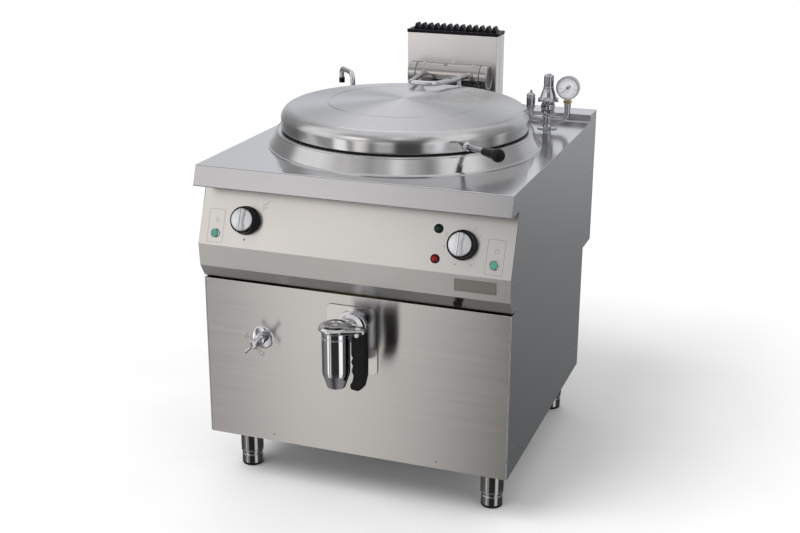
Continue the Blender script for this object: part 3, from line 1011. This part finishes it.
for s in (-1, 1):
    x0, x1 = sorted((s * 96, s * 114))
    poly = fillet([(389, 853, 0), (424, 853, 0), (424, 950, 10), (416, 962, 8), (389, 962, 2)], True, 5)
    prism(bm, poly, YZ, x0, x1)
    x0, x1 = sorted((s * 90, s * 120))
    prism(bm, fillet([(x0, 387, 4), (x1, 387, 4), (x1, 425.5, 4), (x0, 425.5, 4)], True, 4), Matrix.Identity(4), 850.02, 855)
piece("hinge_pedestals", bm, "cabinet", CASTING, bevel=1.4, segments=3)

# ================================================================ the lid
C_R, C_Z, RS, SLOPE = 290.0, 921.5, 30.0, 6.5
A_TOP = radians(90 - SLOPE)
R_DOME = (C_R + RS * cos(A_TOP)) / sin(radians(SLOPE))
Z_DOME = C_Z + RS * sin(A_TOP) - R_DOME * cos(radians(SLOPE))


def dome_z(r):
    return Z_DOME + sqrt(R_DOME ** 2 - r * r)


def bead(r):
    u = (r - 198.0) / 2.2
    return 1.5 * max(0.0, 1 - u * u) ** 1.5 if abs(u) < 1 else 0.0


bm = bmesh.new()
outer = [(318.2, 898.0), (319.2, 898.0), (319.8, 898.3), (320.0, 899.0), (320.0, 903.5), (320.0, 910), (320.0, 917)]
outer += [(C_R + RS * cos(A_TOP * i / 22), C_Z + RS * sin(A_TOP * i / 22)) for i in range(23)]
rad = [290, 285, 277, 264, 248, 232, 218, 208, 203] + [200.6 - 0.26 * i for i in range(21)] + [192, 185, 170, 150, 128, 105, 82, 60, 42, 28, 18, 12, 8, 5, 3, 1.5]
outer += [(r, dome_z(r) + bead(r)) for r in rad] + [(0, dome_z(0))]
inner = [(0, dome_z(0) - 2)] + [(r, dome_z(r) - 2) for r in (40, 90, 150, 194, 202, 250, 286)]
inner += [(C_R + (RS - 2) * cos(A_TOP * i / 10), C_Z + (RS - 2) * sin(A_TOP * i / 10)) for i in range(10, -1, -1)] + [(318, 903), (318, 898.2)]
n_out = len(outer)
lathe(bm, outer + inner, AX, 288, 0, closed=True)
bm.faces.ensure_lookup_table()
for f_ in bm.faces:
    c = f_.calc_center_median()
    rr = hypot(c.x, c.y - VES_Y)
    if rr > 301.0:
        f_.material_index = 1
piece("lid_spun", bm, "lid", [LID, LID_SIDE], "lid_shell", sharp=50)
bm = bmesh.new()
lathe(bm, fillet([(0, 898.0, 0), (280, 898.0, 2), (284, 897.0, 1), (288, 898.0, 2), (317.8, 898.02, 0.3), (317.8, 899.5, 0.2), (0, 899.5, 0)], False, 4), AX, 192, closed=False)
piece("lid_liner_pressed", bm, "lid", VESSEL, "lid_liner")
bm = bmesh.new()
lathe(bm, fillet([(304.2, 897.8, 0), (304.2, 895.6, 0.5), (307, 893.6, 2.0), (314, 893.45, 2.0), (316.8, 895.6, 0.5), (316.8, 898.0, 0)], True, 4), AX, 192)
piece("lid_gasket_ring", bm, "lid", RUBBER, "lid_gasket")

# the bent tube that joins the lid to its hinge, and the studs that carry it
bm = bmesh.new()
path = fillet([(67, 352, 971.3, 0), (34, 145, 983, 24), (-34, 145, 983, 24), (-67, 352, 971.3, 0)], n=12)
tube(bm, dense(path, 5), 7, 32)
for x, y in ((0, 145), (57.5, 292), (-57.5, 292)):
    r = hypot(x, y - VES_Y)
    z0 = dome_z(r)
    zt = 983 if y < 200 else 974.6
    f = at(x, y, 0)
    lathe(bm, fillet([(0, z0 - 1.0, 0), (11.0, z0 - 1.0, 0), (11.0, z0 + 1.6, 0.7), (8.6, z0 + 2.6, 1.0), (6.0, z0 + 3.2, 1.2), (6.0, zt, 0), (0, zt, 0)], False, 4), f, 36, closed=False)
    if y > 200:
        lathe(bm, fillet([(0, zt, 0), (6.4, zt + 3.0, 0.6), (6.4, zt + 6.2, 0.8), (4.6, zt + 8.0, 1.6), (0, zt + 8.6, 0)], False, 5), f, 32, closed=False)
for s in (-1, 1):      # welded saddles where the tube meets the sleeve
    a = Vector((s * 67, 352, 971.3))
    lathe(bm, fillet([(6.5, -9, 0), (8.6, -9, 1.0), (9.2, -3, 1.5), (9.6, 2.5, 1.0), (6.5, 2.5, 0)], True, 4), frame_at(a, (1, 0, 0), Vector((s * 34, 213, -12.0))), 36)
piece("lid_arm_tube", bm, "lid", CHROME, "lid_arm")

# handle
HA = radians(47.0)
dx, dy = sin(HA), -cos(HA)
tl = radians(4.0)
H = frame_at((dx * 312, VES_Y + dy * 312, 909), (0, 0, 1), (dx * cos(tl), dy * cos(tl), sin(tl)))
bm = bmesh.new()
lathe(bm, fillet([(0, 5.2, 0), (12, 5.2, 0.4), (12, 10.5, 1.2), (9.6, 12.2, 1.2), (7.2, 13.0, 0.8), (7.0, 60, 0), (7.0, 128, 0.6), (0, 128, 0)], False, 5), H, 48, closed=False)
piece("handle_rod", bm, "lid", CHROME, "lid_handle_rod")
bm = bmesh.new()
R_B, Z_B = 16.5, 151.5
lathe(bm, fillet([(7.1, 88, 0), (8.6, 88, 0.8), (9.6, 89.6, 1.2), (10.2, 100, 6), (13.2, 139, 5)], False, 5) + [(R_B * cos(radians(a)), Z_B + R_B * sin(radians(a))) for a in range(-38, 90, 8)] + [(0, Z_B + R_B), (0, 127.9), (7.1, 127.9)], H, 56, closed=True)
piece("handle_grip", bm, "lid", BLACK, "lid_grip", sharp=50)

# ================================================================ pipes at the back
bm = bmesh.new()
wi = fillet([(PX, 440, 300, 0), (PX, PY, 300, 16), (PX, PY, 847.9, 0)], n=8)
tube(bm, dense(wi, 8), 7.5, 28)
B = frame_at((PX, 0, 300), (1, 0, 0), (0, 1, 0))
prof = [(0, 414, 0)]
prof += [(10.2, 414, 0.3)] + sum([[(10.48, 415.4 + 2.2 * i, 0.2), (9.8, 416.5 + 2.2 * i, 0.2)] for i in range(10)], []) + [(10.48, 439.4, 0.4), (9.4, 440, 0.2), (0, 440, 0)]
lathe(bm, fillet(prof, False, 2), B, 48, closed=False)
lathe(bm, fillet([(0, 405, 0), (15, 405, 0.6), (15, 409.5, 0.6), (0, 409.5, 0)], False, 3), B, 48, closed=False)
piece("water_inlet_pipe", bm, "cabinet", BRASS, "water_inlet", sharp=28)

# ==================================================== CAD nodes that show as they are
CARRIED = {
    "base_frame": ZINC, "steam_jacket": VESSEL, "jacket_insulation": WOOL, "combustion_chamber": ZINC, "burner": ZINC,
    "gas_pipe": ZINC, "gas_valve": CASTING, "water_valve": CASTING, "cable_gland": BLACK, "hinge_axle_springs": ZINC,
}
for n, mt in CARRIED.items():
    o = NODES[n]
    o.data.materials.clear()
    o.data.materials.append(mt)

# ============================================================ floor and studio
bm = bmesh.new()
bmesh.ops.create_grid(bm, x_segments=8, y_segments=8, size=30.0)
me = bpy.data.meshes.new("floor")
bm.to_mesh(me)
bm.free()
floor = bpy.data.objects.new("floor", me)
bpy.context.scene.collection.objects.link(floor)
fl = Net("pale_floor")
n = fl.noise(fl.scaled(fl.obj, (3.0,) * 3), 1.0, 2.0, 0.5)
fl.link(fl.ramp(n, [(0.3, (0.87, 0.87, 0.87)), (0.7, (0.90, 0.90, 0.90))]), fl.p.inputs["Base Color"])
fl.p.inputs["Roughness"].default_value = 0.9
fl.p.inputs["Specular IOR Level"].default_value = 0.1
me.materials.append(fl.mat)
floor.visible_glossy = False

w = bpy.data.worlds.new("studio")
bpy.context.scene.world = w
w.use_nodes = True
t = w.node_tree
t.nodes.clear()


def wn(kind, **kw):
    nd = t.nodes.new(kind)
    for k_, v_ in kw.items():
        setattr(nd, k_, v_)
    return nd


def wmath(op, a, b=0.0, c=0.0, clamp=False):
    nd = wn("ShaderNodeMath", operation=op)
    nd.use_clamp = clamp
    for i_, v_ in enumerate((a, b, c)):
        if isinstance(v_, (int, float)):
            nd.inputs[i_].default_value = v_
        else:
            t.links.new(v_, nd.inputs[i_])
    return nd.outputs[0]


def wramp(fac, stops, mode="EASE"):
    nd = wn("ShaderNodeValToRGB")
    nd.color_ramp.interpolation = mode
    e_ = nd.color_ramp.elements
    while len(e_) < len(stops):
        e_.new(0.5)
    for i_, (p_, c_) in enumerate(stops):
        e_[i_].position = p_
        e_[i_].color = (*c_, 1.0)
    t.links.new(fac, nd.inputs["Fac"])
    return nd.outputs["Color"]


def wmix(fac, a, b):
    nd = wn("ShaderNodeMix", data_type="RGBA")
    t.links.new(fac, nd.inputs[0])
    t.links.new(a, nd.inputs[6])
    t.links.new(b, nd.inputs[7])
    return nd.outputs[2]


tc = wn("ShaderNodeTexCoord")
sep = wn("ShaderNodeSeparateXYZ")
t.links.new(tc.outputs["Generated"], sep.inputs[0])
dxw, dyw, dzw = sep.outputs
azw = wmath("ARCTAN2", dxw, wmath("MULTIPLY", dyw, -1.0))          # 0 in front (-Y), + towards +X
u = wmath("MULTIPLY_ADD", azw, 1 / (2 * pi), 0.5)


def stops(rows):
    return [((az + 180) / 360, tuple(0.5 * v * c_ for c_ in tint)) for az, v, tint in rows]


WARM, NEUT, COOL = (1.0, 0.965, 0.935), (1.0, 1.0, 1.0), (0.94, 0.965, 1.0)
BANDS = [      # (sine of the elevation where the band is full, azimuth ramp)
    (-0.90, [(-180, 0.34, NEUT), (-90, 0.30, NEUT), (-20, 0.05, WARM), (60, 0.24, NEUT), (180, 0.34, NEUT)]),
    (-0.46, [(-180, 0.30, NEUT), (-118, 0.14, NEUT), (-92, 0.12, NEUT), (-70, 0.26, NEUT), (-49, 0.26, NEUT), (-45, 1.30, NEUT), (-36, 1.30, NEUT), (-32, 0.13, WARM), (-27.5, 0.40, WARM), (-24.5, 0.92, WARM), (-19, 0.66, WARM), (-15, 0.22, WARM),
             (-6, 0.05, NEUT), (44, 0.04, NEUT), (52, 1.20, NEUT), (74, 1.20, NEUT), (80, 0.10, NEUT), (130, 0.08, NEUT), (152, 0.10, COOL), (180, 0.20, COOL)]),
    (-0.32, [(-180, 0.40, COOL), (-150, 0.38, COOL), (-118, 0.12, NEUT), (-96, 0.10, NEUT), (-72, 0.26, NEUT), (-50, 0.26, NEUT), (-46, 1.40, NEUT), (-36, 1.40, NEUT), (-31.5, 0.12, WARM), (-28, 0.34, WARM), (-25, 1.10, WARM),
             (-22, 0.84, WARM), (-18, 0.52, WARM), (-15.5, 0.06, NEUT), (-9, 0.02, NEUT), (44, 0.03, NEUT), (50, 1.30, NEUT), (75, 1.30, NEUT), (81, 0.10, NEUT), (122, 0.08, NEUT), (150, 0.18, COOL), (165, 0.27, COOL)]),
    (-0.19, [(-180, 0.55, COOL), (-150, 0.50, COOL), (-122, 0.20, NEUT), (-98, 0.16, NEUT), (-84, 0.30, NEUT), (-76, 0.70, NEUT), (-66, 0.34, NEUT), (-50, 0.40, WARM), (-46, 1.20, NEUT), (-37, 1.20, NEUT), (-32, 0.22, WARM), (-24, 1.22, WARM),
             (-17, 1.08, WARM), (-11, 0.30, NEUT), (-4, 0.92, NEUT), (7, 0.92, NEUT), (12, 0.10, NEUT), (33, 0.10, NEUT), (39, 0.98, NEUT), (53, 0.98, NEUT), (58, 0.24, NEUT), (70, 0.22, NEUT), (90, 0.60, NEUT),
             (104, 0.22, NEUT), (116, 0.75, NEUT), (128, 0.30, NEUT), (152, 0.46, COOL), (170, 0.58, COOL)]),
    (0.04, [(-180, 0.62, COOL), (-150, 0.60, COOL), (-122, 0.30, NEUT), (-98, 0.24, NEUT), (-84, 0.75, NEUT), (-60, 0.98, NEUT), (-36, 0.66, WARM), (-20, 0.72, WARM), (-10, 0.40, NEUT), (4, 0.55, NEUT),
            (14, 0.12, NEUT), (34, 0.12, NEUT), (44, 0.92, NEUT), (70, 0.90, NEUT), (96, 0.30, NEUT), (128, 0.30, NEUT), (150, 0.60, COOL), (170, 0.66, COOL)]),
    (0.34, [(-180, 0.60, COOL), (-162, 0.86, COOL), (-150, 0.72, COOL), (-138, 0.48, COOL), (-118, 0.34, NEUT), (-98, 0.34, NEUT), (-84, 0.95, NEUT), (-62, 1.00, NEUT), (-46, 0.90, WARM), (-34, 1.45, WARM), (-24, 1.60, WARM), (-18, 1.22, WARM), (-12, 0.42, NEUT),
            (6, 0.22, NEUT), (36, 0.20, NEUT), (50, 0.85, NEUT), (80, 0.92, NEUT), (100, 0.40, NEUT), (128, 0.36, NEUT), (150, 0.66, COOL), (168, 0.70, COOL)]),
    (0.62, [(-180, 0.40, NEUT), (-168, 0.42, NEUT), (-156, 0.78, NEUT), (-140, 0.62, NEUT), (-110, 0.42, NEUT), (-84, 0.95, NEUT), (-60, 0.90, NEUT), (-40, 0.42, NEUT), (-16, 0.40, NEUT), (0, 0.55, NEUT), (12, 0.95, NEUT), (26, 0.55, NEUT), (44, 0.30, NEUT),
            (60, 0.90, NEUT), (84, 0.95, NEUT), (110, 0.42, NEUT), (150, 0.60, NEUT), (180, 0.40, NEUT)]),
    (0.90, [(-180, 0.85, NEUT), (-60, 0.80, NEUT), (0, 0.72, NEUT), (60, 0.80, NEUT), (180, 0.85, NEUT)]),
]
sky = None
for (z1, rows) in BANDS:
    layer = wramp(u, stops(rows))
    if sky is not None:
        mr = wn("ShaderNodeMapRange", interpolation_type="SMOOTHSTEP")
        t.links.new(dzw, mr.inputs["Value"])
        mr.inputs["From Min"].default_value, mr.inputs["From Max"].default_value = z0, z1
        layer = wmix(mr.outputs[0], sky, layer)
    sky, z0 = layer, z1
BOXES = [      # (azimuth, elevation, half angle, added light)
    (-153, 50, 11, 0.55),
]
for (az_, el_, half_, gain_) in BOXES:
    d_ = (cos(radians(el_)) * sin(radians(az_)), -cos(radians(el_)) * cos(radians(az_)), sin(radians(el_)))
    dot_ = wn("ShaderNodeVectorMath", operation="DOT_PRODUCT")
    t.links.new(tc.outputs["Generated"], dot_.inputs[0])
    dot_.inputs[1].default_value = d_
    mr = wn("ShaderNodeMapRange", interpolation_type="SMOOTHSTEP")
    t.links.new(dot_.outputs["Value"], mr.inputs["Value"])
    mr.inputs["From Min"].default_value, mr.inputs["From Max"].default_value = cos(radians(half_ + 3)), cos(radians(half_ - 2))
    add_ = wn("ShaderNodeMix", data_type="RGBA", blend_type="ADD")
    add_.inputs[0].default_value = 1.0
    t.links.new(sky, add_.inputs[6])
    glow_ = wn("ShaderNodeMix", data_type="RGBA")
    t.links.new(mr.outputs[0], glow_.inputs[0])
    glow_.inputs[6].default_value = (0, 0, 0, 1)
    glow_.inputs[7].default_value = (0.5 * gain_, 0.5 * gain_, 0.5 * gain_, 1)
    t.links.new(glow_.outputs[2], add_.inputs[7])
    sky = add_.outputs[2]
bg = wn("ShaderNodeBackground")
t.links.new(sky, bg.inputs["Color"])
bg.inputs["Strength"].default_value = 2.24
plain = wn("ShaderNodeBackground")
plain.inputs["Color"].default_value = (1.0, 1.0, 1.0, 1.0)
plain.inputs["Strength"].default_value = 1.0
seen = wn("ShaderNodeLightPath")
both_ = wn("ShaderNodeMixShader")
t.links.new(seen.outputs["Is Camera Ray"], both_.inputs[0])
t.links.new(bg.outputs[0], both_.inputs[1])
t.links.new(plain.outputs[0], both_.inputs[2])
wo = wn("ShaderNodeOutputWorld")
t.links.new(both_.outputs[0], wo.inputs["Surface"])

sun = bpy.data.lights.new("key", "SUN")
sun.energy = 1.6
sun.angle = radians(34)
so = bpy.data.objects.new("key", sun)
bpy.context.scene.collection.objects.link(so)
so.visible_glossy = False
so.rotation_euler = (Vector((0, 0, 0)) - Vector((-0.62, -0.75, 1.25))).to_track_quat("-Z", "Y").to_euler()
